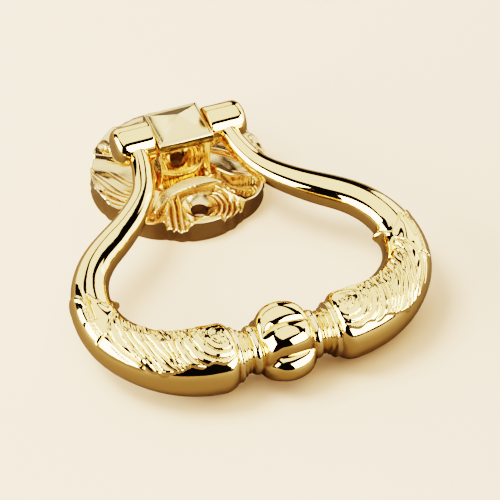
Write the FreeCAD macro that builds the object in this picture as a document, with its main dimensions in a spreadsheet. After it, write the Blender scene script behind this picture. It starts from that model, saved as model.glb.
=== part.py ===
import FreeCAD, Part
import Sketcher
import math, os

# Ring pull handle: scalloped rosette backplate with a square post, a swinging
# bail hung on a straight axle pin.  Millimetres, +Z out of the mounting
# surface, origin in the middle of the backplate on its back face, +X along
# the axle, the bail lies toward -Y.

Vector, Placement, Rotation = FreeCAD.Vector, FreeCAD.Placement, FreeCAD.Rotation
doc = FreeCAD.newDocument("ring_pull_handle")

# ---------------------------------------------------------------- dimensions
dims = doc.addObject("Spreadsheet::Sheet", "dims")
dims.Label = "dimensions"

CELLS = [
    # rosette backplate
    ("lobe_offset", 9.6), ("lobe_radius", 13.2), ("lobe_count", 8),
    ("plate_height", 6.6),
    ("valley_radius", 7.0), ("valley_mid", 16.0), ("valley_floor", 4.9),
    ("valley_slope", 9.0), ("valley_length", 30.0),
    ("dish_mid", 15.33), ("dish_wide", 9.2), ("dish_deep", 5.5),
    ("dish_centre_z", 7.0), ("dish_vertical", 4.0),
    ("seat_radius", 4.1), ("seat_z", 6.3),
    ("ridge_mid", 17.4), ("ridge_major", 9.2), ("ridge_minor", 0.95),
    ("ridge_z", 5.0), ("ridge_sweep", 116.0), ("ridge_start", 32.0),
    ("flute_radius", 0.75), ("flute_z", 6.9), ("flute_reach", 7.0),
    ("screw_radius", 2.25), ("screw_depth", 12.0),
    # post and cap
    ("foot_x", 17.6), ("foot_y", 15.6), ("foot_z", 2.6), ("foot_height", 4.2),
    ("post_low_x", 12.9), ("post_low_y", 11.7),
    ("post_top_x", 13.9), ("post_top_y", 12.5), ("post_height", 11.2),
    ("cap_x", 14.4), ("cap_y", 13.0), ("cap_z", 17.9), ("cap_height", 1.9),
    ("pyramid_x", 13.4), ("pyramid_y", 12.0), ("pyramid_height", 3.1),
    ("pyramid_tip", 0.5),
    # axle
    ("axle_z", 16.4), ("pin_radius", 1.5), ("pin_half", 16.1),
    ("pin_chamfer", 0.2), ("post_bore", 1.55), ("knuckle_bore", 1.5),
    ("bore_span", 40.0), ("knuckle_bore_span", 32.4),
    # bail
    ("rest_tilt", 5.63), ("knuckle_radius", 5.0), ("knuckle_inner", 7.4),
    ("knuckle_length", 10.0), ("knuckle_round", 2.4),
    ("knop_v", 71.6), ("knop_half", 7.3), ("knop_radius", 9.35), ("knop_end", 4.6),
    ("gadroon_count", 5), ("groove_out", 2.3), ("groove_major", 7.55),
    ("groove_minor", 1.05), ("groove_sweep", 150.0),
    ("shaft_radius", 4.5), ("shaft_half", 14.2),
    ("collar_at", 8.2), ("collar_major", 4.45), ("collar_minor", 1.35),
    ("thin_at", 9.6), ("thin_step", 1.1), ("thin_major", 4.4),
    ("thin_minor", 0.62),
]

# Centre line of the right half of the bail, drawn flat: distance across from
# the middle, distance down from the axle, radius of the rod.
ARM = [
    (12.0, 0.6, 2.75), (12.15, 5.0, 2.76), (13.2, 10.5, 2.76),
    (15.3, 16.3, 2.9), (19.13, 21.63, 3.44), (27.07, 28.78, 4.07),
    (32.4, 33.1, 4.25), (36.3, 37.9, 4.45), (38.6, 43.0, 4.7),
    (39.4, 47.0, 4.8),
]
SHEATH = [
    (38.75, 43.6, 5.15), (39.5, 47.4, 5.5), (39.5, 52.4, 5.65),
    (37.4, 59.1, 6.2), (33.4, 64.5, 6.7), (28.6, 68.3, 7.15),
    (23.9, 70.3, 7.8), (19.4, 71.25, 8.3), (15.0, 71.6, 8.05),
    (12.6, 71.6, 7.35), (11.2, 71.6, 6.2), (10.5, 71.6, 4.9),
]


def headings(points):
    """Direction of travel at each station, degrees, from its neighbours."""
    out = []
    for i in range(len(points)):
        a, b = points[max(i - 1, 0)], points[min(i + 1, len(points) - 1)]
        out.append(math.degrees(math.atan2(-(b[1] - a[1]), b[0] - a[0])))
    return out


def station_cells(prefix, points, first=None, last=None):
    turn = headings(points)
    if first is not None:
        turn[0] = first
    if last is not None:
        turn[-1] = last
    for i, ((u, v, r), t) in enumerate(zip(points, turn)):
        CELLS.append((prefix + "_u" + chr(97 + i), u))
        CELLS.append((prefix + "_v" + chr(97 + i), v))
        CELLS.append((prefix + "_r" + chr(97 + i), r))
        CELLS.append((prefix + "_t" + chr(97 + i), round(t % 360.0, 3)))


station_cells("arm", ARM, first=270.0)
station_cells("sheath", SHEATH, last=180.0)

VAL = {}
for row, (name, value) in enumerate(CELLS, start=1):
    dims.set("A%d" % row, name)
    dims.set("B%d" % row, repr(float(value)) if not isinstance(value, int) else str(value))
    dims.setAlias("B%d" % row, name)
    VAL[name] = value
doc.recompute()


# ------------------------------------------------------------------- helpers
def body(name, label):
    made = doc.addObject("PartDesign::Body", name)
    made.Label = label
    return made


def datum(of_body, role):
    for item in of_body.Origin.OriginFeatures:
        if item.Role == role:
            return item


def attach(obj, of_body, role, offset=None):
    obj.AttachmentSupport = [(datum(of_body, role), "")]
    obj.MapMode = "FlatFace"
    if offset is not None:
        obj.AttachmentOffset = offset


def sketch(of_body, name, role="XY_Plane", offset=None):
    made = doc.addObject("Sketcher::SketchObject", name)
    of_body.addObject(made)
    attach(made, of_body, role, offset)
    return made


def bind(obj, **pairs):
    for prop, expression in pairs.items():
        obj.setExpression(prop.replace("__", "."), expression)


def circle(of_body, name, radius, role="XY_Plane", offset=None, at=None):
    """A circle on the sketch origin, or at[0], at[1] cells away from it."""
    made = sketch(of_body, name, role, offset)
    x, y = (VAL[at[0]] if at and at[0] else 0.0), (VAL[at[1]] if at and at[1] else 0.0)
    made.addGeometry(Part.Circle(Vector(x, y, 0), Vector(0, 0, 1), VAL[radius]), False)
    made.addConstraint(Sketcher.Constraint("Radius", 0, VAL[radius]))
    made.setExpression("Constraints[0]", "dims." + radius)
    if not at:
        made.addConstraint(Sketcher.Constraint("Coincident", 0, 3, -1, 1))
    elif at[0]:
        made.addConstraint(Sketcher.Constraint("PointOnObject", 0, 3, -1))
        made.addConstraint(Sketcher.Constraint("DistanceX", -1, 1, 0, 3, x))
        made.setExpression("Constraints[2]", "dims." + at[0])
    else:
        made.addConstraint(Sketcher.Constraint("PointOnObject", 0, 3, -2))
        made.addConstraint(Sketcher.Constraint("DistanceY", -1, 1, 0, 3, y))
        made.setExpression("Constraints[2]", "dims." + at[1])
    return made


def rectangle(of_body, name, width, depth, height):
    """A centred rectangle width x depth, lifted to a height expression."""
    made = sketch(of_body, name)
    made.setExpression("AttachmentOffset.Base.z", height)
    w, d = VAL[width] / 2.0, VAL[depth] / 2.0
    p = [Vector(-w, -d, 0), Vector(w, -d, 0), Vector(w, d, 0), Vector(-w, d, 0)]
    for i in range(4):
        made.addGeometry(Part.LineSegment(p[i], p[(i + 1) % 4]), False)
    con = Sketcher.Constraint
    for i in range(4):
        made.addConstraint(con("Coincident", i, 2, (i + 1) % 4, 1))
    made.addConstraint([con("Horizontal", 0), con("Horizontal", 2),
                        con("Vertical", 1), con("Vertical", 3)])
    made.addConstraint(con("Symmetric", 0, 1, 1, 2, -1, 1))
    made.addConstraint(con("DistanceX", 0, 1, 0, 2, 2 * w))
    made.addConstraint(con("DistanceY", 1, 1, 1, 2, 2 * d))
    made.setExpression("Constraints[9]", "dims." + width)
    made.setExpression("Constraints[10]", "dims." + depth)
    return made


def feature(of_body, kind, name, label=None):
    made = of_body.newObject("PartDesign::" + kind, name)
    made.Label = label or name
    return made


def pad(of_body, name, profile, length, midplane=False):
    made = feature(of_body, "Pad", name)
    made.Profile = profile
    made.Length = 1.0
    made.setExpression("Length", length)
    if midplane:
        made.SideType = "Symmetric" if hasattr(made, "SideType") else 0
    return made


def loft(of_body, name, profiles, ruled=False):
    made = feature(of_body, "AdditiveLoft", name)
    made.Profile = profiles[0]
    made.Sections = profiles[1:]
    made.Ruled = ruled
    return made


def polar(of_body, name, originals, axis, count):
    made = feature(of_body, "PolarPattern", name)
    made.Originals = originals
    made.Axis = axis
    made.Angle = 360.0
    made.Occurrences = int(VAL[count]) if isinstance(count, str) else count
    if isinstance(count, str):
        made.setExpression("Occurrences", "dims." + count)
    of_body.Tip = made
    return made


# --------------------------------------------------------- rosette backplate
plate = body("rosette_backplate", "rosette_backplate")
z_axis = (datum(plate, "Z_Axis"), [""])

lobe_sketch = circle(plate, "lobe_outline", "lobe_radius", at=("lobe_offset", None))
lobe_pad = pad(plate, "lobe", lobe_sketch, "dims.plate_height")
polar(plate, "scalloped_plate", [lobe_pad], z_axis, "lobe_count")

# four scooped leaf valleys on the diagonals, falling toward the edge
valley = feature(plate, "SubtractiveCylinder", "leaf_valley")
attach(valley, plate, "XY_Plane")
bind(valley, Radius="dims.valley_radius", Height="dims.valley_length")
valley.setExpression(
    "AttachmentOffset",
    "create(<<placement>>; create(<<vector>>; "
    "(dims.valley_mid - dims.valley_length / 2) * cos(45 deg); "
    "(dims.valley_mid - dims.valley_length / 2) * sin(45 deg); "
    "dims.valley_floor + dims.valley_radius + dims.valley_length / 2 * sin(dims.valley_slope * 1 deg)); "
    "create(<<rotation>>; 45; 90 + dims.valley_slope; 0))")
polar(plate, "leaf_valleys", [valley], z_axis, 4)

# four shell dishes on the axes of the plate
dish = feature(plate, "SubtractiveEllipsoid", "shell_dish")
attach(dish, plate, "XY_Plane")
bind(dish, Radius1="dims.dish_vertical", Radius2="dims.dish_wide",
     Radius3="dims.dish_deep", AttachmentOffset__Base__y="-dims.dish_mid",
     AttachmentOffset__Base__z="dims.dish_centre_z")
polar(plate, "shell_dishes", [dish], z_axis, 4)

# flutes across the lip of each dish
flutes = []
for i, turn in enumerate((-62.0, -42.0, 42.0, 62.0)):
    flute = feature(plate, "SubtractiveCylinder", "lip_flute_" + "abcd"[i])
    attach(flute, plate, "XY_Plane")
    bind(flute, Radius="dims.flute_radius", Height="dims.flute_reach")
    flute.setExpression(
        "AttachmentOffset",
        "create(<<placement>>; create(<<vector>>; %s; %s; dims.flute_z); "
        "create(<<rotation>>; %s; 90; 0))" % (
            repr(round(6.2 * math.sin(math.radians(turn)), 4)),
            "-dims.dish_mid - " + repr(round(1.2 * math.cos(math.radians(turn)), 4)),
            repr(turn - 90.0)))
    flutes.append(flute)
polar(plate, "lip_flutes", flutes, z_axis, 4)

# crescent ridge between the screw dish and the post, on both screw lobes
ridge = feature(plate, "AdditiveTorus", "crescent_ridge")
attach(ridge, plate, "XY_Plane")
bind(ridge, Radius1="dims.ridge_major", Radius2="dims.ridge_minor",
     Angle3="dims.ridge_sweep")
ridge.setExpression(
    "AttachmentOffset",
    "create(<<placement>>; create(<<vector>>; 0; -dims.ridge_mid; dims.ridge_z); "
    "create(<<rotation>>; dims.ridge_start; 0; 0))")
polar(plate, "crescent_ridges", [ridge], z_axis, 2)

seat = feature(plate, "SubtractiveSphere", "screw_seat")
attach(seat, plate, "XY_Plane")
bind(seat, Radius="dims.seat_radius", AttachmentOffset__Base__y="-dims.dish_mid",
     AttachmentOffset__Base__z="dims.seat_z")
screw = feature(plate, "SubtractiveCylinder", "screw_hole")
attach(screw, plate, "XY_Plane")
bind(screw, Radius="dims.screw_radius", Height="dims.screw_depth",
     AttachmentOffset__Base__y="-dims.dish_mid", AttachmentOffset__Base__z="-1")
polar(plate, "screw_holes", [seat, screw], z_axis, 2)

# square post with a spread foot, and a square cap with a pyramid on top
foot = loft(plate, "post_foot", [
    rectangle(plate, "foot_base", "foot_x", "foot_y", "dims.foot_z"),
    rectangle(plate, "foot_neck", "post_low_x", "post_low_y", "dims.foot_z + dims.foot_height")], True)
shank = loft(plate, "post_shank", [
    rectangle(plate, "shank_base", "post_low_x", "post_low_y", "dims.foot_z + dims.foot_height"),
    rectangle(plate, "shank_top", "post_top_x", "post_top_y", "dims.foot_z + dims.foot_height + dims.post_height")], True)
cap = pad(plate, "cap_block", rectangle(plate, "cap_outline", "cap_x", "cap_y", "dims.cap_z"), "dims.cap_height")
pyramid = loft(plate, "cap_pyramid", [
    rectangle(plate, "pyramid_base", "pyramid_x", "pyramid_y", "dims.cap_z + dims.cap_height"),
    rectangle(plate, "pyramid_point", "pyramid_tip", "pyramid_tip", "dims.cap_z + dims.cap_height + dims.pyramid_height")], True)

bore = feature(plate, "SubtractiveCylinder", "axle_bore")
attach(bore, plate, "YZ_Plane")
bind(bore, Radius="dims.post_bore", Height="dims.bore_span",
     AttachmentOffset__Base__y="dims.axle_z", AttachmentOffset__Base__z="-dims.bore_span / 2")
plate.Tip = bore

# ---------------------------------------------------------------------- bail
# Drawn flat about its own axle: local X along the axle, local -Y down the
# ring, local Z out of its face.  The body placement lays it at rest.
bail = body("bail", "bail")
SIDE = {1: "right", -1: "left"}


def station(prefix, i, side):
    """One circular section of the bail; side is +1 for +X, -1 for -X."""
    letter = chr(97 + i)
    made = circle(bail, "%s_section_%s_%s" % (prefix, letter, SIDE[side]),
                  "%s_r%s" % (prefix, letter))
    heading = "dims.%s_t%s" % (prefix, letter)
    made.setExpression(
        "AttachmentOffset",
        "create(<<placement>>; create(<<vector>>; %d * dims.%s_u%s; -dims.%s_v%s; 0); "
        "create(<<rotation>>; %s; 90; 0))" % (
            side, prefix, letter, prefix, letter,
            heading if side > 0 else "180 - " + heading))
    return made


def across(obj, along, inward="-dims.knop_v"):
    """Set a primitive square to the axle direction, `along` it from the middle."""
    attach(obj, bail, "YZ_Plane")
    obj.setExpression("AttachmentOffset.Base.x", inward)
    obj.setExpression("AttachmentOffset.Base.z", along)


shaft = feature(bail, "AdditiveCylinder", "knop_shaft")
bind(shaft, Radius="dims.shaft_radius", Height="dims.shaft_half * 2")
across(shaft, "-dims.shaft_half")

# the knop: a turned barrel with five grooves cut from end to end, which leave
# five gadroons between them
knop_profile = sketch(bail, "knop_profile", "XY_Plane")
knop_profile.setExpression("AttachmentOffset.Base.y", "-dims.knop_v")
kx, kr, ke = VAL["knop_half"], VAL["knop_radius"], VAL["knop_end"]
knop_profile.addGeometry(Part.Arc(Vector(kx, ke, 0), Vector(0, kr, 0), Vector(-kx, ke, 0)), False)
knop_profile.addGeometry(Part.LineSegment(Vector(-kx, ke, 0), Vector(-kx, 0, 0)), False)
knop_profile.addGeometry(Part.LineSegment(Vector(-kx, 0, 0), Vector(kx, 0, 0)), False)
knop_profile.addGeometry(Part.LineSegment(Vector(kx, 0, 0), Vector(kx, ke, 0)), False)
con = Sketcher.Constraint
knop_profile.addConstraint([
    con("Coincident", 0, 2, 1, 1), con("Coincident", 1, 2, 2, 1),
    con("Coincident", 2, 2, 3, 1), con("Coincident", 3, 2, 0, 1),
    con("Vertical", 1), con("Vertical", 3), con("Horizontal", 2),
    con("Symmetric", 2, 1, 2, 2, -1, 1), con("PointOnObject", 0, 3, -2)])
knop_profile.addConstraint(con("DistanceX", 2, 1, 2, 2, 2 * kx))
knop_profile.setExpression("Constraints[9]", "2 * dims.knop_half")
knop_profile.addConstraint(con("DistanceY", 3, 1, 3, 2, ke))
knop_profile.setExpression("Constraints[10]", "dims.knop_end")
knop_profile.addConstraint(con("Radius", 0, (kx * kx + (kr - ke) ** 2) / (2 * (kr - ke))))
knop_profile.setExpression(
    "Constraints[11]",
    "(dims.knop_half * dims.knop_half + (dims.knop_radius - dims.knop_end) * (dims.knop_radius - dims.knop_end))"
    " / (2 * (dims.knop_radius - dims.knop_end))")
knop = feature(bail, "Revolution", "knop")
knop.Profile = knop_profile
knop.ReferenceAxis = (knop_profile, ["H_Axis"])
knop.Angle = 360.0

groove = feature(bail, "SubtractiveTorus", "knop_groove")
attach(groove, bail, "XY_Plane")
bind(groove, Radius1="dims.groove_major", Radius2="dims.groove_minor", Angle3="dims.groove_sweep")
groove.setExpression(
    "AttachmentOffset",
    "create(<<placement>>; create(<<vector>>; 0; "
    "-dims.knop_v - dims.groove_out * cos(18 deg); dims.groove_out * sin(18 deg)); "
    "create(<<rotation>>; create(<<vector>>; 1; 0; 0); -18) * "
    "create(<<rotation>>; create(<<vector>>; 0; 0; 1); 270 - dims.groove_sweep / 2))")
polar(bail, "knop_grooves", [groove], (knop_profile, ["H_Axis"]), "gadroon_count")

for side in (1, -1):
    name = SIDE[side]
    loft(bail, "leaf_sheath_" + name, [station("sheath", i, side) for i in range(len(SHEATH))])
    loft(bail, "arm_" + name, [station("arm", i, side) for i in range(len(ARM))])
    # knuckle: a short barrel with a well rounded outer end, turned about the axle
    outline = sketch(bail, "knuckle_profile_" + name, "XY_Plane")
    x0, kr, rr = VAL["knuckle_inner"], VAL["knuckle_radius"], VAL["knuckle_round"]
    x2 = x0 + VAL["knuckle_length"]
    q = rr * math.sqrt(0.5)
    corner = [Vector(side * (x2 - rr), kr, 0),
              Vector(side * (x2 - rr + q), kr - rr + q, 0),
              Vector(side * x2, kr - rr, 0)]
    outline.addGeometry(Part.LineSegment(Vector(side * x0, 0, 0), Vector(side * x0, kr, 0)), False)
    outline.addGeometry(Part.LineSegment(Vector(side * x0, kr, 0), corner[0]), False)
    outline.addGeometry(Part.Arc(*corner), False)
    outline.addGeometry(Part.LineSegment(corner[2], Vector(side * x2, 0, 0)), False)
    outline.addGeometry(Part.LineSegment(Vector(side * x2, 0, 0), Vector(side * x0, 0, 0)), False)
    near, far = (1, 2) if side < 0 else (2, 1)    # an arc's ends run anticlockwise
    outline.addConstraint([
        con("Coincident", 0, 2, 1, 1), con("Coincident", 3, 2, 4, 1),
        con("Coincident", 4, 2, 0, 1), con("Vertical", 0), con("Horizontal", 1),
        con("Vertical", 3), con("PointOnObject", 0, 1, -1),
        con("PointOnObject", 3, 2, -1),
        con("Tangent", 1, 2, 2, near), con("Tangent", 2, far, 3, 1)])
    if side > 0:
        outline.addConstraint(con("DistanceX", -1, 1, 0, 1, x0))
        outline.addConstraint(con("DistanceX", 0, 1, 3, 2, x2 - x0))
    else:
        outline.addConstraint(con("DistanceX", 0, 1, -1, 1, x0))
        outline.addConstraint(con("DistanceX", 3, 2, 0, 1, x2 - x0))
    outline.addConstraint(con("DistanceY", 0, 1, 0, 2, kr))
    outline.addConstraint(con("Radius", 2, rr))
    for i, value in enumerate(("inner", "length", "radius", "round")):
        outline.setExpression("Constraints[%d]" % (10 + i), "dims.knuckle_" + value)
    knuckle = feature(bail, "Revolution", "knuckle_" + name)
    knuckle.Profile = outline
    knuckle.ReferenceAxis = (outline, ["H_Axis"])
    knuckle.Angle = 360.0
    collar = feature(bail, "AdditiveTorus", "collar_" + name)
    bind(collar, Radius1="dims.collar_major", Radius2="dims.collar_minor")
    across(collar, "%d * dims.collar_at" % side)
    for i in range(3):
        bead = feature(bail, "AdditiveTorus", "thin_ring_%s_%s" % ("abc"[i], name))
        bind(bead, Radius1="dims.thin_major", Radius2="dims.thin_minor")
        across(bead, "%d * (dims.thin_at + dims.thin_step * %d)" % (side, i))

knuckle_bore = feature(bail, "SubtractiveCylinder", "knuckle_bore")
bind(knuckle_bore, Radius="dims.knuckle_bore", Height="dims.knuckle_bore_span")
across(knuckle_bore, "-dims.knuckle_bore_span / 2", "0")
bail.Tip = knuckle_bore

bail.setExpression(
    "Placement",
    "create(<<placement>>; create(<<vector>>; 0; 0; dims.axle_z); "
    "create(<<rotation>>; 0; 0; dims.rest_tilt))")

# ------------------------------------------------------------------ axle pin
pin = body("axle_pin", "axle_pin")
pin_round = circle(pin, "pin_section", "pin_radius", role="YZ_Plane")
pin_round.setExpression("AttachmentOffset.Base.z", "-dims.pin_half")
pin_pad = pad(pin, "pin_rod", pin_round, "dims.pin_half * 2")
doc.recompute()
pin_ends = feature(pin, "Chamfer", "pin_ends")
pin_ends.Base = (pin_pad, ["Edge%d" % (i + 1) for i, e in enumerate(pin_pad.Shape.Edges)
                           if e.Curve.TypeId == "Part::GeomCircle"])
pin_ends.Size = VAL["pin_chamfer"]
pin_ends.setExpression("Size", "dims.pin_chamfer")
pin.Tip = pin_ends
pin.setExpression("Placement.Base.z", "dims.axle_z")

doc.recompute()

# -------------------------------------------------------------------- export
for item in doc.Objects:
    bad = [s for s in item.State if s in ("Invalid", "Error")]
    if bad:
        raise RuntimeError("%s is %s" % (item.Name, bad))

os.makedirs("parts", exist_ok=True)
for node in (plate, bail, pin):
    shape = node.Shape
    if shape.isNull() or not shape.isValid() or len(shape.Solids) != 1:
        raise RuntimeError("%s: null, not valid or not one solid" % node.Label)
    shape.exportStep("parts/%s.step" % node.Label)
    box = shape.BoundBox
    print(node.Label, "solids", len(shape.Solids), "faces", len(shape.Faces),
          "volume %.0f" % shape.Volume,
          "box %.2f %.2f %.2f .. %.2f %.2f %.2f" % (
              box.XMin, box.YMin, box.ZMin, box.XMax, box.YMax, box.ZMax))
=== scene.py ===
import math
import bpy
import numpy as np
from mathutils import Matrix, Vector


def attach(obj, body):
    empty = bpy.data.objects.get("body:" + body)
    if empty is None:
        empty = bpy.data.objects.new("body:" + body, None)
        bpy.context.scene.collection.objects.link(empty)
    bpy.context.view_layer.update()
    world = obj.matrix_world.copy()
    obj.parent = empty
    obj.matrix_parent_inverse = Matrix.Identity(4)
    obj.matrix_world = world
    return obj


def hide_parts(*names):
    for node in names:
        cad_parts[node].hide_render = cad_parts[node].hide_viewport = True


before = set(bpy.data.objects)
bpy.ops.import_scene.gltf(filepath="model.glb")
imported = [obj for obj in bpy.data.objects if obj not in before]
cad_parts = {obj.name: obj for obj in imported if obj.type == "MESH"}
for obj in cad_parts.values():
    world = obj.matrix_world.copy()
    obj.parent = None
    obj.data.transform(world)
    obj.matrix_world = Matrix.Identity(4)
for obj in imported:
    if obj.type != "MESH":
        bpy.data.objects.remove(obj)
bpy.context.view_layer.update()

MM = 0.001

# ============================================================ numbers (mm)
AXLE_Z = 16.4
TILT = math.radians(5.63)
KNOP_V = 71.6

# centre line of one half of the bail: across, down, radius of the rod
ARM = [(12.0, 0.6, 2.75), (12.15, 5.0, 2.76), (13.2, 10.5, 2.78),
       (15.3, 16.3, 2.95), (19.13, 21.63, 3.44), (27.07, 28.78, 4.07),
       (32.4, 33.1, 4.22), (36.3, 37.9, 4.42), (38.6, 43.0, 4.72),
       (39.55, 48.0, 5.0), (39.5, 52.6, 5.25), (37.6, 59.0, 5.8),
       (33.5, 64.5, 6.35), (28.6, 68.3, 6.95), (23.9, 70.3, 7.5),
       (19.4, 71.25, 7.9), (16.0, 71.58, 7.95), (12.25, 71.6, 7.85)]


# ========================================================== small geometry
def spline(t, p, q):
    """Natural cubic spline through (t, p), read at q."""
    t, p, q = np.asarray(t, float), np.asarray(p, float), np.asarray(q, float)
    n = len(t)
    h = np.diff(t)
    a = np.zeros((n, n))
    b = np.zeros(n)
    a[0, 0] = a[-1, -1] = 1.0
    for i in range(1, n - 1):
        a[i, i - 1], a[i, i], a[i, i + 1] = h[i - 1], 2 * (h[i - 1] + h[i]), h[i]
        b[i] = 6 * ((p[i + 1] - p[i]) / h[i] - (p[i] - p[i - 1]) / h[i - 1])
    m = np.linalg.solve(a, b)
    k = np.clip(np.searchsorted(t, q) - 1, 0, n - 2)
    d0, d1, hh = q - t[k], t[k + 1] - q, h[k]
    return (m[k] * d1 ** 3 + m[k + 1] * d0 ** 3) / (6 * hh) \
        + (p[k] / hh - m[k] * hh / 6) * d1 + (p[k + 1] / hh - m[k + 1] * hh / 6) * d0


def smooth(lo, hi, x):
    t = np.clip((x - lo) / (hi - lo), 0.0, 1.0)
    return t * t * (3 - 2 * t)


def segment_distance(px, py, ax, ay, bx, by):
    """Distance and place 0..1 along a segment, for arrays of points."""
    dx, dy = bx - ax, by - ay
    t = np.clip(((px - ax) * dx + (py - ay) * dy) / (dx * dx + dy * dy + 1e-12), 0, 1)
    return np.hypot(px - ax - t * dx, py - ay - t * dy), t


def ribbon(px, py, path, widths, height, power=0.55, crown=1.0):
    """Height of a rounded strip laid along a path; widths are half widths."""
    out = np.zeros_like(px)
    n = len(path) - 1
    for i in range(n):
        d, t = segment_distance(px, py, *path[i], *path[i + 1])
        w = widths[i] + (widths[i + 1] - widths[i]) * t
        e = np.clip(1 - (d / w) ** 2, 0, 1)
        out = np.maximum(out, height * crown * e ** power)
    return out


def smooth_path(points, n):
    """A path through the points resampled to n pieces by a cubic spline."""
    p = np.asarray(points, float)
    t = np.concatenate([[0], np.cumsum(np.hypot(np.diff(p[:, 0]), np.diff(p[:, 1])))])
    q = np.linspace(0, t[-1], n + 1)
    return list(zip(spline(t, p[:, 0], q), spline(t, p[:, 1], q)))


class Shell:
    """Collects closed shells into one mesh."""

    def __init__(self):
        self.v, self.f, self.n = [], [], 0

    def add(self, verts, faces):
        verts = np.asarray(verts, float)
        self.v.append(verts)
        self.f += [tuple(i + self.n for i in f) for f in faces]
        self.n += len(verts)

    def grid(self, pts, flip=False):
        """pts[i, j, 3]: rings of points, closed around j and capped at both ends."""
        ni, nj = pts.shape[:2]
        verts = pts.reshape(-1, 3)
        faces = []
        for i in range(ni - 1):
            for j in range(nj):
                k = (j + 1) % nj
                q = (i * nj + j, i * nj + k, (i + 1) * nj + k, (i + 1) * nj + j)
                faces.append(q[::-1] if flip else q)
        first, last = pts[0].mean(0), pts[-1].mean(0)
        a, b = len(verts), len(verts) + 1
        for j in range(nj):
            k = (j + 1) % nj
            q0, q1 = (a, k, j), (b, (ni - 1) * nj + j, (ni - 1) * nj + k)
            faces.append(q0[::-1] if flip else q0)
            faces.append(q1[::-1] if flip else q1)
        self.add(np.vstack([verts, first, last]), faces)

    def build(self, name, smooth_angle=None):
        mesh = bpy.data.meshes.new(name)
        verts = np.vstack(self.v) * MM
        mesh.from_pydata(verts.tolist(), [], self.f)
        mesh.validate()
        mesh.update()
        obj = bpy.data.objects.new(name, mesh)
        bpy.context.scene.collection.objects.link(obj)
        mesh.polygons.foreach_set("use_smooth", [True] * len(mesh.polygons))
        if smooth_angle is not None:
            mesh.set_sharp_from_angle(angle=math.radians(smooth_angle))
        return obj


def to_row(u, v, w):
    """Ring coordinates (across, down, out of the ring's face) to the row frame."""
    c, s = math.cos(TILT), math.sin(TILT)
    return np.stack([u, -v * c - w * s, AXLE_Z - v * s + w * c], -1)


# ================================================================== bail
A = np.array(ARM)
ARM_T = np.concatenate([[0], np.cumsum(np.hypot(np.diff(A[:, 0]), np.diff(A[:, 1])))])
S_END = ARM_T[-1]
S_ZERO = ARM_T[1]        # lengths along the carving are counted from here
TAIL = S_END - S_ZERO


def key(x, pairs):
    k = np.array(pairs, float)
    return np.interp(x, k[:, 0], k[:, 1])


def sheath_edge(theta):
    """Where the leaf sheath starts along the arm, by angle round it (degrees)."""
    return key(theta, [(-180, 50.6), (-140, 49.8), (-118, 49.2), (-105, 49.6), (-85, 51.2), (-60, 53.2),
                       (-42, 55.2), (-34, 55.8), (-24, 55.0), (-10, 53.8), (2, 52.5), (10, 51.2), (14, 50.8), (18, 51.6),
                       (22, 53.3), (26, 54.6), (29, 53.0), (34, 51.4), (45, 50.3), (60, 49.7), (80, 49.6),
                       (110, 50.6), (150, 51.2), (180, 50.6)])


FINGER_SWEEP_A = [(-60, -2.2), (-45, -1.0), (-30, 0), (-10, 2.2), (5, 5.0), (28, 9.6), (37, 11.6), (50, 13.8), (64, 15.6), (80, 17.0)]
FINGER_SWEEP_B = [(-60, -1.8), (-45, -0.8), (-30, 0), (-10, 2.0), (10, 4.6), (30, 8.2), (50, 11.8), (64, 14.0), (80, 16.0)]
# edges of the fingers and, from the fourteenth on, of the shell's rounds
ROOTS = [59.4, 62.1, 64.4, 67.2, 69.3, 72.0, 74.2, 77.0, 79.8, 83.0, 86.1, 89.2,
         91.7, 93.3]
UNWIND = [(0, 1.30), (66, 1.20), (90, 1.02), (126, 0.90), (162, 0.80), (197, 0.64), (240, 0.66), (300, 1.0), (360, 1.30)]
SHELL_S, SHELL_T = 91.0, -4.0


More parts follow.
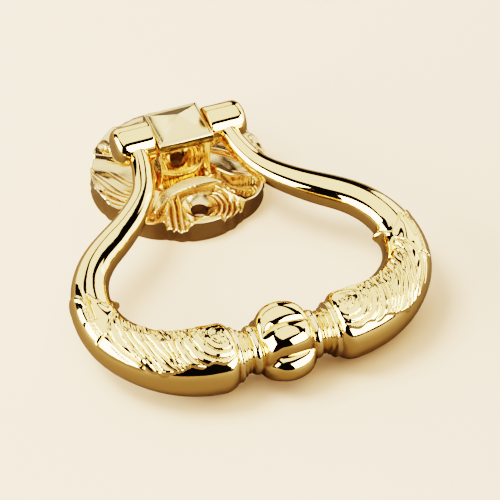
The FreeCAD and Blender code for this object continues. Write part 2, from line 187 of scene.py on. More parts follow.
def carve(s, th, r):
    """Relief of the leaf sheath and the shell, mm above the plain rod."""
    b = np.radians(th) * 7.2                    # rough arc length round the rod
    edge = sheath_edge(th)
    on = smooth(-0.10, 0.24, s - edge)
    height = 0.42 * on + 0.14 * np.exp(-((s - edge - 0.8) / 0.8) ** 2) * on

    def line(path, half, depth, power=1.0, n=8):
        """Depth of an engraved line through (s, degrees) points."""
        out = np.zeros_like(s)
        pts = smooth_path([(x, math.radians(y) * 7.2) for x, y in path], n)
        for i in range(len(pts) - 1):
            d, t = segment_distance(s, b, *pts[i], *pts[i + 1])
            out = np.maximum(out, depth * np.clip(1 - d / half, 0, 1) ** power)
        return out

    # --- field that counts across the fingers and then round the shell
    wave = 0.22 * np.sin(0.55 * s + 0.05 * th) + 0.16 * np.sin(1.3 * s - 0.11 * th + 1.0)
    sweep = key(th, FINGER_SWEEP_A) * (1 - smooth(70, 78, s)) + key(th, FINGER_SWEEP_B) * smooth(70, 78, s)
    x = s - sweep + wave * 0.6
    q1, q2 = s - SHELL_S, np.radians(th - SHELL_T) * 8.2
    turn = np.arctan2(q2, q1)
    rho = np.hypot(q1, q2 * 0.98) * (1 + 0.05 * np.sin(2 * turn + 0.7)) + 0.10 * np.sin(3 * turn + s * 0.3)
    coil = rho * key(np.degrees(turn) % 360.0, UNWIND)
    x_shell = 93.0 - coil * 1.75
    w = smooth(11.6, 8.6, coil)
    x = x * (1 - w) + x_shell * w
    roots = np.array(ROOTS)
    k = np.clip(np.searchsorted(roots, x.ravel()).reshape(x.shape) - 1, 0, len(roots) - 2)
    phase = np.clip((x - roots[k]) / (roots[k + 1] - roots[k]), 0, 1)
    pitch = roots[k + 1] - roots[k]
    amp = np.array([0.58, 0.44, 0.60, 0.42, 0.60, 0.46, 0.58, 0.54, 0.58, 0.52, 0.44, 0.34, 0.20])[k]
    amp = amp * (1 + 0.28 * np.sin(0.9 * s + 0.13 * th) * np.sin(0.31 * s - 0.10 * th + 2.0))
    # rounded strips that lean on one another like leaves
    skew = phase ** 0.80
    strip = amp * np.clip(1 - np.abs(2 * skew - 1) ** 2.2, 0, 1) ** 0.80
    vein = 0.11 * np.exp(-((phase - 0.40) / 0.085) ** 2) + 0.07 * np.exp(-((phase - 0.70) / 0.06) ** 2)
    vein = vein * smooth(1.2, 1.7, pitch) * smooth(-26, -8, th) * smooth(60, 44, th)

    # where the strips live: past the smooth top leaf, above the long lower panel
    top = key(s, [(58, 12), (60, 18), (62, 23), (64, 27), (67, 36), (70, 45), (72.5, 50.5), (73.6, 57), (76, 60), (78.6, 60), (80, 52), (83, 47), (86, 45), (90, 44), (93, 42), (96, 40)])
    ragged = 2.6 * np.sin(1.35 * s)
    room = smooth(2.5, -3.0, th - top - np.where(s > 73.5, ragged, 0.0))
    inner = key(s, [(55, -32), (62, -40), (70, -42), (76, -46), (82, -50), (88, -56), (93, -60)])
    room = room * smooth(-2.0, 16.0, th - inner)
    start = smooth(59.2, 60.0, x + 0.0 * s)
    room = room * np.maximum(start, w)
    open_side = 1 - 0.55 * smooth(-0.1, 0.9, np.cos(turn + 1.0)) * w
    fade = 1 - smooth(TAIL - 3.0, TAIL - 1.4, s)
    height = height + (strip * open_side - vein) * room * fade
    # the middle of the shell is a soft boss
    height = height + 0.20 * np.exp(-(rho / 1.5) ** 2) * fade

    # pits between the finger roots on the inner side
    for i, s0 in enumerate((62.0, 66.0, 69.6, 73.2, 76.6, 79.4, 81.9, 84.2)):
        depth = 0.24 if i > 2 else 0.14
        height = height - depth * np.exp(-((s - s0 - 0.10 * (th + 26)) / 0.42) ** 2) * np.exp(-((th + 26) / 11.0) ** 2)
    # leaf tips that curl up on the inner side
    for s0, t0 in ((60.6, -27), (69.0, -29), (74.6, -31), (77.9, -33)):
        height = height + 0.26 * np.exp(-((s - s0) / 1.0) ** 2 - ((th - t0) / 6.5) ** 2)

    # --- smooth leaves below the edge of the sheath
    cuts = np.maximum(line([(50.9, 16), (53.2, 15), (56.0, 17.5), (58.8, 21.5)], 0.50, 0.40, 0.8),
                      line([(54.4, 27), (57.5, 30), (62.8, 37)], 0.30, 0.26))
    cuts = np.maximum(cuts, line([(54.6, 33), (58.0, 36), (62.8, 44)], 0.26, 0.20))
    cuts = np.maximum(cuts, line([(59.0, -31), (60.5, -12), (62.3, 8), (64.2, 25)], 0.50, 0.34, 0.8, 12))
    cuts = np.maximum(cuts, line([(64.3, 24), (63.4, 32), (63.0, 42), (63.1, 58)], 0.40, 0.46, 0.8))
    cuts = np.maximum(cuts, line([(64.3, 26), (67.0, 36), (70.0, 45), (72.5, 50.5), (73.6, 57)], 0.46, 0.46, 0.8, 10))
    cuts = np.maximum(cuts, line([(66.0, 44), (68.2, 51), (70.4, 59)], 0.20, 0.15))
    height = height - cuts * smooth(0.1, 0.8, s - edge)
    panel = 0.26 * smooth(63.1, 63.7, s) * smooth(25, 31, th) * (1 - smooth(62, 66, th)) * (1 - smooth(73.0, 74.2, s))
    folds = 0.10 * np.sin((th + 1.8 * (s - 52)) / 5.2) * smooth(53, 55, s) * (1 - smooth(57.0, 60.0, x)) * smooth(-36, -24, th) * smooth(24, 16, th)
    height = height + panel + folds
    # curled tip of the longest finger
    height = height + 0.62 * np.clip(1 - ((s - 77.6) / 0.95) ** 2 - ((th - 60.5) / 6.5) ** 2, 0, 1) ** 0.6
    # inner leaf point standing proud of the arm
    height = height + 1.25 * np.exp(-((s - 52.6) / 1.15) ** 2) * np.exp(-((th + 88) / 15.0) ** 2)
    height = height - 0.25 * np.exp(-((s - 55.4) / 0.9) ** 2) * np.exp(-((th + 74) / 12.0) ** 2)
    return height


def ring_half(side, shell):
    fine0, fine1 = S_ZERO + 48.6, S_END - 3.4
    s = np.concatenate([np.linspace(0, fine0, 40, endpoint=False),
                        np.linspace(fine0, fine1, 254, endpoint=False),
                        S_END - 3.4 * np.cos(np.linspace(0, np.pi / 2, 20))])
    top = np.linspace(-74, 76, 94, endpoint=False)
    rest = np.linspace(76, 286, 26, endpoint=False)
    th = np.concatenate([top, rest])
    th = np.where(th > 180, th - 360, th)
    S, T = np.meshgrid(s, th, indexing="ij")
    u = spline(ARM_T, A[:, 0], s)
    v = spline(ARM_T, A[:, 1], s)
    kern = np.hanning(25)
    kern /= kern.sum()
    fine = np.linspace(0, S_END, 900)
    rf = np.interp(fine, ARM_T, A[:, 2])
    pad = np.concatenate([np.full(60, rf[0]), rf, np.full(60, rf[-1])])
    for _ in range(3):
        pad = np.convolve(pad, kern, mode="same")
    r = np.interp(s, fine, pad[60:-60])
    # blunt rounded end of the lobe
    e = 1e-3
    du = (spline(ARM_T, A[:, 0], np.minimum(s + e, S_END)) - spline(ARM_T, A[:, 0], np.maximum(s - e, 0)))
    dv = (spline(ARM_T, A[:, 1], np.minimum(s + e, S_END)) - spline(ARM_T, A[:, 1], np.maximum(s - e, 0)))
    L = np.hypot(du, dv)
    du, dv = du / L, dv / L
    nu, nv = dv, -du
    R = r[:, None] + carve(S - S_ZERO, T, r[:, None] + 0 * T)
    reach = 2.6 + 1.9 * smooth(40, 95, np.abs(T))
    k = np.clip((S - (S_END - reach)) / reach, 0, 1)
    R = 4.0 + (R - 4.0) * np.sqrt(np.clip(1 - k ** 2.4, 0, 1))
    tr = np.radians(T)
    uu = u[:, None] + R * np.sin(tr) * nu[:, None]
    vv = v[:, None] + R * np.sin(tr) * nv[:, None]
    ww = R * np.cos(tr)
    pts = to_row(side * uu, vv, ww)
    shell.grid(pts, flip=(side > 0))


def turned(shell, profile, at_v, at_w=0.0, around=72, lobes=None):
    """A shape turned about the axle direction; lobes(x, angle) scales the radius."""
    prof = np.asarray(profile, float)
    ang = np.linspace(0, 2 * np.pi, around, endpoint=False)
    X, G = np.meshgrid(prof[:, 0], ang, indexing="ij")
    Rr = np.repeat(prof[:, 1][:, None], around, 1)
    if lobes is not None:
        Rr = lobes(X, G, Rr)
    pts = to_row(X, at_v + Rr * np.sin(G), at_w + Rr * np.cos(G))
    shell.grid(pts, flip=True)


def bead(x0, half, base, rise, n=7):
    t = np.linspace(-1, 1, n)
    return [(x0 + half * a, base + rise * math.sqrt(max(0.0, 1 - a * a))) for a in t]


COLLAR_FACES = []


def build_bail():
    shell = Shell()
    for side in (1, -1):
        ring_half(side, shell)
        # knuckle: short barrel, well rounded outside
        x0, x1, x2, rk = 7.4, 15.0, 17.4, 5.0
        prof = [(x0, 2.0), (x0, 4.62), (x0 + 0.05, 4.78), (x0 + 0.14, 4.9), (x0 + 0.3, 4.98), (x0 + 0.5, rk)]
        prof += [(x, rk) for x in np.linspace(x0 + 1.2, x1, 8)]
        prof += [(x1 + (x2 - x1) * math.sin(g), 2.6 + (rk - 2.6) * math.cos(g)) for g in np.linspace(0.12, math.pi / 2, 15)]
        prof += [(x2 + 0.03, 1.9), (x2 + 0.05, 1.0), (x2 + 0.05, 0.4)]
        prof = [(side * x, r) for x, r in prof]
        if side < 0:
            prof = prof[::-1]
        turned(shell, prof, 0.0, 0.0, 72)
        # collars: one big bead, then three rings that climb to the lobe
        prof = [(4.6, 3.4), (5.6, 4.2), (6.15, 4.5)]
        prof += bead(7.62, 1.36, 4.62, 1.42, 15)
        us = np.linspace(9.0, 12.9, 47)[1:]
        base = key(us, [(8.9, 4.58), (9.1, 4.6), (10.15, 4.86), (11.2, 5.55), (12.2, 6.60), (12.9, 6.9)])
        bump = np.zeros_like(us)
        for c, wd, h in ((9.62, 0.60, 0.62), (10.72, 0.60, 0.60), (11.82, 0.60, 0.56)):
            bump = np.maximum(bump, h * 0.5 * (1 + np.cos(np.pi * np.clip((us - c) / wd, -1, 1))))
        prof += list(zip(us, base + bump)) + [(13.4, 6.0), (13.6, 5.0)]
        prof = [(side * x, r) for x, r in prof]
        if side < 0:
            prof = prof[::-1]
        COLLAR_FACES.append(len(shell.f))
        turned(shell, prof, KNOP_V, 0.0, 64)
        COLLAR_FACES.append(len(shell.f))

    # knop of five gadroons, a groove on top
    knots = np.array([[-6.9, 4.75], [-6.62, 6.0], [-5.75, 7.45], [-3.9, 8.95], [-1.4, 9.86], [0.6, 9.96],
                      [2.9, 9.55], [5.0, 8.45], [6.35, 6.75], [6.9, 5.6], [7.15, 4.75]])
    chord = np.concatenate([[0], np.cumsum(np.hypot(np.diff(knots[:, 0]), np.diff(knots[:, 1])))])
    fine = np.linspace(0, chord[-1], 300)
    us, rs = spline(chord, knots[:, 0], fine), spline(chord, knots[:, 1], fine)
    n = np.sin(np.linspace(-np.pi / 2, np.pi / 2, 51))
    xs = 0.125 + 7.025 * n
    crest = np.interp(xs, us, rs)
    for _ in range(3):
        crest[1:-1] = 0.25 * crest[:-2] + 0.5 * crest[1:-1] + 0.25 * crest[2:]
    depth = 2.75 * (1 - np.abs(n) ** 3.0)

    def lobes(X, G, Rr):
        deg = (np.degrees(G) - 20.0 * smooth(-2.6, -6.9, X) + 3.0) % 360.0
        under = (deg > 144) & (deg < 216)
        a = np.radians((deg % 72.0) - 36.0)
        c = np.where(under, Rr - 0.60 * (Rr - 4.75) / 5.15, Rr)
        g = Rr - np.interp(X, xs, depth)
        g = np.minimum(g, c - 1e-4)
        d = (c * c - g * g) / (2 * (c - g * math.cos(math.radians(36.0))))
        rr = c - d
        return d * np.cos(a) + np.sqrt(np.clip(rr * rr - (d * np.sin(a)) ** 2, 0, None))
    turned(shell, list(zip(xs, crest)), KNOP_V, 0.0, 130, lobes)
    return shell.build("bail_cast_brass", 44)


# ============================================================== backplate
def shell_lobe(t, p, turn):
    """Relief of a main lobe: t across it, p distance out from the plate's centre."""
    bowl = np.hypot(t, p - 15.33)
    ang = np.degrees(np.arctan2(t, p - 15.33))          # 0 = straight outwards
    z = 3.9 - 0.09 * (p - 12) + 0 * t
    # flutes: on one side they fall straight to the rim, on the other they round the bowl
    left = -t - 0.22 * (p - 12.6) + 0.10 * np.sin(0.7 * p + turn)
    rib = np.zeros_like(t)
    for at in (4.55, 6.15, 7.75, 9.35):
        rib = np.maximum(rib, 1.25 * np.clip(1 - ((left - at) / 0.84) ** 2, 0, 1))
    rib = rib * (t < 0)
    low = smooth(17.5, 22.0, p) * smooth(-4.0, -6.0, t)
    wob = 0.16 * np.sin(np.radians(ang) * 2.3 + turn)
    round_ = np.zeros_like(t)
    for i, rk in enumerate((5.45, 6.75, 8.05, 9.35)):
        round_ = np.maximum(round_, (1.15 - 0.06 * i) * np.clip(1 - ((bowl - rk - wob) / 0.70) ** 2, 0, 1))
    round_ = round_ * smooth(24, 38, ang) * smooth(140, 116, ang)
    z = z + rib - 0.55 * low + round_ + 0.95 * smooth(18.0, 21.8, p) * smooth(2.0, 4.0, t)
    # bowl round the screw hole
    cup = 2.85 + 2.15 * (bowl / 4.35) ** 2.1
    lipz = 5.0 - 2.3 * (bowl - 4.35)
    z = np.where(bowl < 4.35, cup, np.maximum(z, lipz))
    # wavy lip in the middle of the edge
    at = 21.0 + 0.42 * np.sin(1.25 * t + 0.8 + turn)
    lip = np.exp(-(np.minimum(p - at, 0) / 0.70) ** 2) * smooth(5.6, 3.4, np.abs(t + 0.6))
    low = smooth(19.3, 20.6, p) * smooth(5.6, 4.0, np.abs(t + 0.6))
    z = z * (1 - low) + np.minimum(z, 3.3) * low
    z = np.maximum(z, 3.2 + 2.9 * lip)
    return z


def wing_lobe(t, p, turn):
    """Relief of a lobe beside the post: soft folds that sweep from the rim inwards."""
    q = np.hypot(p - 4.0, t + 9.0) + 0.30 * np.sin(0.5 * t + turn)
    q = q + 0.55 * np.sin(q * 1.35 + 0.6) + 0.25 * np.sin(0.45 * p - 0.3 * t)
    ph = np.mod(q, 2.05) / 2.05
    fold = (0.42 + 0.16 * np.sin(0.9 * q + 0.35 * t)) * np.clip(1 - np.abs(2 * ph - 1) ** 2.0, 0, 1)
    fold = fold * smooth(11.0, 14.0, q) * smooth(-4.0, 0.0, t + 0.35 * (p - 12))
    dish = np.clip(1 - ((p - 14.6) / 6.6) ** 2, 0, 1) * np.clip(1 - ((t - 1.0) / 9.5) ** 2, 0, 1)
    z = 5.25 - 1.25 * dish - 0.45 * np.exp(-((t + 6.0) / 3.2) ** 2) * smooth(10.0, 14.0, p)
    return z + fold + 0.25 * smooth(20.4, 21.6, p)


def far_lobe(t, p, turn):
    """Relief of the lobe behind the post: a bowl inside a thick smooth roll."""
    bowl = np.hypot(t, p - 15.33)
    cup = 2.85 + 2.15 * (bowl / 4.35) ** 2.1
    roll = 4.3 + 1.5 * np.exp(-((p - 20.3 + 0.02 * t * t) / 1.5) ** 2) + 0.05 * np.cos(1.1 * t + turn)
    return np.where(bowl < 4.35, cup, np.maximum(roll, 5.0 - 2.3 * (bowl - 4.35)))


LID_OUT = np.array([(-12.2, 15.6), (-11.3, 13.5), (-8.1, 9.5), (-3.6, 7.1), (-0.1, 6.5), (4.0, 7.2), (7.2, 10.0), (10.0, 14.8)])
LID_IN = np.array([(-12.2, 15.9), (-8.6, 12.6), (-3.9, 10.0), (0.6, 9.3), (4.8, 9.7), (8.4, 12.2), (10.0, 14.9)])


def crescent(t, p):
    """Smooth crescent lid between the post and the bowl: height, and where it lies."""
    p_out = spline(LID_OUT[:, 0], LID_OUT[:, 1], np.clip(t, -12.2, 10.0))
    p_in = spline(LID_IN[:, 0], LID_IN[:, 1], np.clip(t, -12.2, 10.0))
    span = np.maximum(p_in - p_out, 1e-3)
    f = (p - p_out) / span
    here = smooth(-0.03, 0.03, f) * (t > -12.2) * (t < 10.0) * (p_in > p_out)
    run = np.clip(p - p_out, 0, 9)
    lid = 6.0 + 1.25 * smooth(0.0, 0.6, span) * np.sqrt(np.clip(run / 0.5, 0, 1)) - 0.34 * run
    lid = lid - 3.6 * np.clip(p - p_in, 0, 9)
    return np.where(here > 0.5, lid, -1.0)


def leaf_lobe(t, p, turn):
    """Relief of a small lobe on the diagonal: a smooth hollow leaf with curled edges."""
    deg = np.degrees(np.arctan2(t, p))
    side = smooth(0.0, 14.5, np.abs(deg + 1.5 * np.sin(turn)))
    hollow = (1 - side ** 1.6) * smooth(9.0, 15.0, p) * (1 - 0.55 * smooth(19.0, 22.3, p))
    z = 5.80 + 0.35 * smooth(15, 21, p) - 2.25 * hollow
    z = z - 0.12 * np.exp(-(t / 0.35) ** 2) * smooth(10, 13, p) * smooth(21, 18, p)
    return z - 1.2 * smooth(11.0, 7.0, p)


def plate_height(x, y):
    """Top surface of the backplate."""
    p = np.hypot(x, y)
    a = np.degrees(np.arctan2(y, x))
    best = np.full_like(x, -1.0)
    main = np.zeros_like(x)
    for c in (-90, 0, 90, 180):
        d = (a - c + 180) % 360 - 180
        ca, sa = math.cos(math.radians(c)), math.sin(math.radians(c))
        along = x * ca + y * sa
        across = -x * sa + y * ca
        kind = {-90: shell_lobe, 90: far_lobe}.get(c, wing_lobe)
        z = kind(across, along, c / 57.3)
        w = smooth(30.5, 27.5, np.abs(d))
        main = main + z * w
        best = np.maximum(best, w)
    small = np.zeros_like(x)
    for c in (-45, 45, 135, -135):
        d = (a - c + 180) % 360 - 180
        ca, sa = math.cos(math.radians(c)), math.sin(math.radians(c))
        along = x * ca + y * sa
        across = -x * sa + y * ca
        w = (np.abs(d) <= 45).astype(float)
        small = small + leaf_lobe(across, along, c / 57.3) * w
    k = np.clip(best, 0, 1)
    z = main + small * (1 - k)
    # the floor by the post, and the four crescents
    z = np.where(p < 8.5, np.minimum(z, 5.2), z)
    for c in (-90, 0, 90, 180):
        ca, sa = math.cos(math.radians(c)), math.sin(math.radians(c))
        z = np.maximum(z, crescent(-x * sa + y * ca, x * ca + y * sa))
    # raised seam between neighbouring lobes
    for c in (-90, 0, 90, 180):
        d = (a - c + 180) % 360 - 180
        off = np.abs(np.abs(d) - 29.0) * np.pi / 180 * p
        z = z + 0.40 * np.exp(-(off / 0.60) ** 2) * smooth(12.5, 15, p)
    return z


def plate_edge(a):
    """Outline radius by angle in degrees."""
    out = np.zeros_like(a)
    for c, half, r0, bulge in [(-90, 28, 21.75, 0.85), (0, 28, 21.75, 0.85), (90, 28, 21.75, 0.85), (180, 28, 21.75, 0.85),
                               (-45, 17, 21.7, 0.75), (45, 17, 21.7, 0.75), (135, 17, 21.7, 0.75), (-135, 17, 21.7, 0.75)]:
        d = (a - c + 180) % 360 - 180
        out = np.where(np.abs(d) <= half, r0 + bulge * (1 - np.abs(d / half) ** 2.4), out)
    # fine scallops where the flutes reach the edge
    for c in (-90, 0, 90, 180):
        d = (a - c + 180) % 360 - 180
        out = out + 0.16 * np.cos(d * np.pi / 4.6) * smooth(9, 13, np.abs(d)) * smooth(28, 25, np.abs(d))
    return out


def box_shell(shell, rects):
    """Closed stack of centred rectangles (half x, half y, z, corner radius)."""
    rings = []
    for hx, hy, z, cr in rects:
        pts = []
        for cx, cy, a0 in ((hx - cr, hy - cr, 0), (-hx + cr, hy - cr, 90), (-hx + cr, -hy + cr, 180), (hx - cr, -hy + cr, 270)):
            for k in range(5):
                g = math.radians(a0 + 90 * k / 4)
                pts.append((cx + cr * math.cos(g), cy + cr * math.sin(g), z))
        rings.append(pts)
    shell.grid(np.array(rings), flip=False)


POST_FACES = []


def build_plate():
    shell = Shell()
    na = 600
    ang = np.linspace(-180, 180, na, endpoint=False)
    edge = plate_edge(ang)
    f = np.concatenate([np.linspace(0.0, 0.27, 8, endpoint=False)[1:], np.linspace(0.27, 0.985, 84), [0.992, 0.997, 1.0]])
    ca, sa = np.cos(np.radians(ang)), np.sin(np.radians(ang))
    rings = []
    for q in f:
        rr = edge * q
        x, y = rr * ca, rr * sa
        z = plate_height(x, y)
        # rounded brow at the edge
        z = z - 0.22 * max(0.0, (q - 0.985) / 0.015) ** 2
        rings.append(np.stack([x, y, z], -1))
    top = rings[-1]
    # side wall: slightly hollow, down to the flat back
    for k in np.linspace(0.12, 1.0, 9):
        g = 1.0 - 0.010 * math.sin(math.pi * k) + 0.004 * k
        z = top[:, 2] * (1 - k)
        rings.append(np.stack([top[:, 0] * g, top[:, 1] * g, z], -1))
    for g in (0.9, 0.5):
        rings.append(np.stack([top[:, 0] * g, top[:, 1] * g, 0 * top[:, 2]], -1))
    shell.grid(np.array(rings), flip=True)
    plate = shell.build("tmp_plate")

    # screw holes cut through
    for sgn in (-1, 1):
        cut = Shell()
        ring = []
        for z in (-2.0, 12.0):
            ring.append([(2.25 * math.cos(g), sgn * 15.33 + 2.25 * math.sin(g), z) for g in np.linspace(0, 2 * math.pi, 56, endpoint=False)])
        cut.grid(np.array(ring), flip=False)
        tool = cut.build("tmp_cut")
        mod = plate.modifiers.new("hole", "BOOLEAN")
        mod.operation, mod.solver, mod.object = "DIFFERENCE", "EXACT", tool
        with bpy.context.temp_override(object=plate, active_object=plate):
            bpy.ops.object.modifier_apply(modifier=mod.name)
        bpy.data.objects.remove(tool)

    # post, foot and cap
    post = Shell()
    box_shell(post, [(8.3, 7.0, 4.3, 0.8), (7.4, 6.35, 5.3, 0.6), (6.85, 6.05, 6.3, 0.5), (6.55, 5.92, 7.6, 0.42), (6.45, 5.85, 9.0, 0.36),
                     (6.62, 5.98, 12.0, 0.36), (6.85, 6.16, 15.5, 0.36), (7.0, 6.28, 17.4, 0.36), (7.0, 6.28, 18.4, 0.3)])
    cap = [(6.7, 6.0, 16.9, 0.3), (7.0, 6.3, 16.9, 0.3), (7.13, 6.43, 16.95, 0.34), (7.2, 6.5, 17.07, 0.36), (7.2, 6.5, 18.95, 0.36),
           (7.16, 6.46, 19.28, 0.36), (7.02, 6.32, 19.5, 0.34), (6.78, 6.08, 19.66, 0.32), (6.5, 5.8, 19.72, 0.28), (6.2, 5.5, 19.70, 0.24)]
    box_shell(post, cap)
    # four hollow-sided facets rising to the point
    n = 34
    g = np.linspace(-1, 1, 2 * n + 1)
    X, Y = np.meshgrid(g, g, indexing="ij")
    m = np.maximum(np.abs(X), np.abs(Y))
    Z = 19.69 + 3.18 * (1 - m) ** 1.16
    hx, hy = 6.25, 5.55
    verts = np.stack([X * hx, Y * hy, Z], -1).reshape(-1, 3)
    low = verts.copy()
    low[:, 2] = 19.0
    w = 2 * n + 1
    faces = []
    for i in range(w - 1):
        for j in range(w - 1):
            a, b, c, d = i * w + j, (i + 1) * w + j, (i + 1) * w + j + 1, i * w + j + 1
            # split along the hips so that the arrises stay true
            if (i < n) == (j < n):
                faces += [(a, b, c), (a, c, d)]
            else:
                faces += [(a, b, d), (b, c, d)]
    k = len(verts)
    edge_loop = [i * w for i in range(w)] + [(w - 1) * w + j for j in range(1, w)] \
        + [i * w + w - 1 for i in range(w - 2, -1, -1)] + [j for j in range(w - 2, 0, -1)]
    ring_low = low[edge_loop]
    m_ = len(edge_loop)
    for q in range(m_):
        nq = (q + 1) % m_
        faces.append((edge_loop[q], k + q, k + nq, edge_loop[nq]))
    centre = k + m_
    for q in range(m_):
        faces.append((centre, k + (q + 1) % m_, k + q))
    post.add(np.vstack([verts, ring_low, [[0, 0, 19.0]]]), faces)
    block = post.build("tmp_post", 25)

    POST_FACES.append(len(plate.data.polygons))
    with bpy.context.temp_override(active_object=plate, object=plate, selected_objects=[plate, block], selected_editable_objects=[plate, block]):
        bpy.ops.object.join()
    plate.name = plate.data.name = "backplate_cast_brass"
    plate.data.set_sharp_from_angle(angle=math.radians(40))
    return plate


# ================================================================== pin
def build_pin():
    shell = Shell()
    ang = np.linspace(0, 2 * np.pi, 64, endpoint=False)
    rows = [(-16.24, 1.25), (-16.22, 1.38), (-16.15, 1.47), (-16.0, 1.5)] + [(x, 1.5) for x in np.linspace(-14, 14, 9)] \
        + [(16.0, 1.5), (16.15, 1.47), (16.22, 1.38), (16.24, 1.25)]
    pts = np.array([[(x, r * math.sin(g), AXLE_Z + r * math.cos(g)) for g in ang] for x, r in rows])
    shell.grid(pts, flip=False)
    return shell.build("axle_pin_brass", 30)


# ============================================================== materials
def node_set(name):
    mat = bpy.data.materials.new(name)
    mat.use_nodes = True
    nt = mat.node_tree
    nt.nodes.clear()
    out = nt.nodes.new("ShaderNodeOutputMaterial")
    bsdf = nt.nodes.new("ShaderNodeBsdfPrincipled")
    nt.links.new(bsdf.outputs[0], out.inputs[0])
    return mat, nt, bsdf


def brass(name, deep_tone_and_recess_shade, light, rough_lo, rough_hi, grain):
    mat, nt, bsdf = node_set(name)
    N, L = nt.nodes.new, nt.links.new
    bsdf.inputs["Metallic"].default_value = 1.0
    co = N("ShaderNodeTexCoord")
    # slow drift of the gold tone
    n1 = N("ShaderNodeTexNoise")
    n1.inputs["Scale"].default_value = 95.0
    n1.inputs["Detail"].default_value = 5.0
    L(co.outputs["Object"], n1.inputs["Vector"])
    # painted shade: recesses, found by pointiness, take the deeper tone and ridges the lighter one
    geo = N("ShaderNodeNewGeometry")
    recess_shade_mask = N("ShaderNodeMapRange")
    recess_shade_mask.inputs["From Min"].default_value = 0.44
    recess_shade_mask.inputs["From Max"].default_value = 0.53
    L(geo.outputs["Pointiness"], recess_shade_mask.inputs["Value"])
    mix = N("ShaderNodeMath")
    mix.operation = "MULTIPLY_ADD"
    mix.inputs[1].default_value = 0.25
    L(n1.outputs["Fac"], mix.inputs[0])
    half = N("ShaderNodeMath")
    half.operation = "MULTIPLY"
    half.inputs[1].default_value = 0.85
    L(recess_shade_mask.outputs["Result"], half.inputs[0])
    L(half.outputs[0], mix.inputs[2])
    ramp = N("ShaderNodeValToRGB")
    ramp.color_ramp.elements[0].position = 0.12
    ramp.color_ramp.elements[0].color = (*deep_tone_and_recess_shade, 1)
    ramp.color_ramp.elements[1].position = 0.72
    ramp.color_ramp.elements[1].color = (*light, 1)
    L(mix.outputs[0], ramp.inputs["Fac"])
    L(ramp.outputs["Color"], bsdf.inputs["Base Color"])
    # polish: fine cloudiness and hairlines in the buffing direction
    n2 = N("ShaderNodeTexNoise")
    n2.inputs["Scale"].default_value = 420.0
    n2.inputs["Detail"].default_value = 6.0
    n2.inputs["Roughness"].default_value = 0.62
    L(co.outputs["Object"], n2.inputs["Vector"])
    mp = N("ShaderNodeMapping")
    mp.inputs["Scale"].default_value = (90.0, 2600.0, 2600.0)
    mp.inputs["Rotation"].default_value = (0.0, 0.25, 0.35)
    L(co.outputs["Object"], mp.inputs["Vector"])
    n3 = N("ShaderNodeTexNoise")
    n3.inputs["Scale"].default_value = 1.0
    n3.inputs["Detail"].default_value = 3.0
    L(mp.outputs[0], n3.inputs["Vector"])
    ro = N("ShaderNodeMapRange")
    ro.inputs["From Min"].default_value = 0.35
    ro.inputs["From Max"].default_value = 0.70
    ro.inputs["To Min"].default_value = rough_lo
    ro.inputs["To Max"].default_value = rough_hi
    L(n2.outputs["Fac"], ro.inputs["Value"])
    L(ro.outputs["Result"], bsdf.inputs["Roughness"])
    # faint cast waviness under the polish, and the hairlines
    n4 = N("ShaderNodeTexNoise")
    n4.inputs["Scale"].default_value = 260.0
    n4.inputs["Detail"].default_value = 2.0
    L(co.outputs["Object"], n4.inputs["Vector"])
    b1 = N("ShaderNodeBump")
    b1.inputs["Strength"].default_value = 0.10
    b1.inputs["Distance"].default_value = 0.00025
    L(n4.outputs["Fac"], b1.inputs["Height"])
    b2 = N("ShaderNodeBump")
    b2.inputs["Strength"].default_value = grain
    b2.inputs["Distance"].default_value = 0.00002
    L(n3.outputs["Fac"], b2.inputs["Height"])
    L(b1.outputs["Normal"], b2.inputs["Normal"])
    L(b2.outputs["Normal"], bsdf.inputs["Normal"])
    return mat


def floor_material():
    mat, nt, bsdf = node_set("studio_floor")
    N, L = nt.nodes.new, nt.links.new
    co = N("ShaderNodeTexCoord")
    n1 = N("ShaderNodeTexNoise")
    n1.inputs["Scale"].default_value = 3.0
    n1.inputs["Detail"].default_value = 3.0
    L(co.outputs["Object"], n1.inputs["Vector"])
    ramp = N("ShaderNodeValToRGB")
    ramp.color_ramp.elements[0].position = 0.3
    ramp.color_ramp.elements[0].color = (0.900, 0.668, 0.452, 1)
    ramp.color_ramp.elements[1].position = 0.7
    ramp.color_ramp.elements[1].color = (0.906, 0.675, 0.458, 1)
    L(n1.outputs["Fac"], ramp.inputs["Fac"])
    # painted shade seen only in the metal: glossy rays see the sweep darker than the eye does, darkest near the object
    geo = N("ShaderNodeNewGeometry")
    dist = N("ShaderNodeVectorMath")
    dist.operation = "DISTANCE"
    dist.inputs[1].default_value = (0.0, -0.010, 0.0)
    L(geo.outputs["Position"], dist.inputs[0])
    far = N("ShaderNodeMath")
    far.operation = "MULTIPLY"
    far.inputs[1].default_value = 2.0
    L(dist.outputs["Value"], far.inputs[0])
    reflected_shade_ramp = N("ShaderNodeValToRGB")
    stops = [(0.05, 0.13), (0.11, 0.165), (0.20, 0.185), (0.34, 0.26), (0.66, 0.30)]
    while len(reflected_shade_ramp.color_ramp.elements) < len(stops):
        reflected_shade_ramp.color_ramp.elements.new(0.5)
    for el, (at, k) in zip(reflected_shade_ramp.color_ramp.elements, stops):
        el.position = at
        el.color = (k * 0.93, k, k * 1.12, 1)
    L(far.outputs[0], reflected_shade_ramp.inputs["Fac"])
    reflected_shade = N("ShaderNodeVectorMath")
    reflected_shade.operation = "MULTIPLY"
    L(ramp.outputs["Color"], reflected_shade.inputs[0])
    L(reflected_shade_ramp.outputs["Color"], reflected_shade.inputs[1])
    # glossy rays get the painted-shade floor, all other rays the even floor
    ray = N("ShaderNodeLightPath")
    pick = N("ShaderNodeMix")
    pick.data_type = "RGBA"
    L(ray.outputs["Is Glossy Ray"], pick.inputs[0])
    L(ramp.outputs["Color"], pick.inputs[6])
    L(reflected_shade.outputs[0], pick.inputs[7])
    L(pick.outputs[2], bsdf.inputs["Base Color"])
    bsdf.inputs["Roughness"].default_value = 0.75
    bsdf.inputs["Specular IOR Level"].default_value = 0.15
    return mat


# ================================================================= build
bail = build_bail()
plate = build_plate()
pin = build_pin()

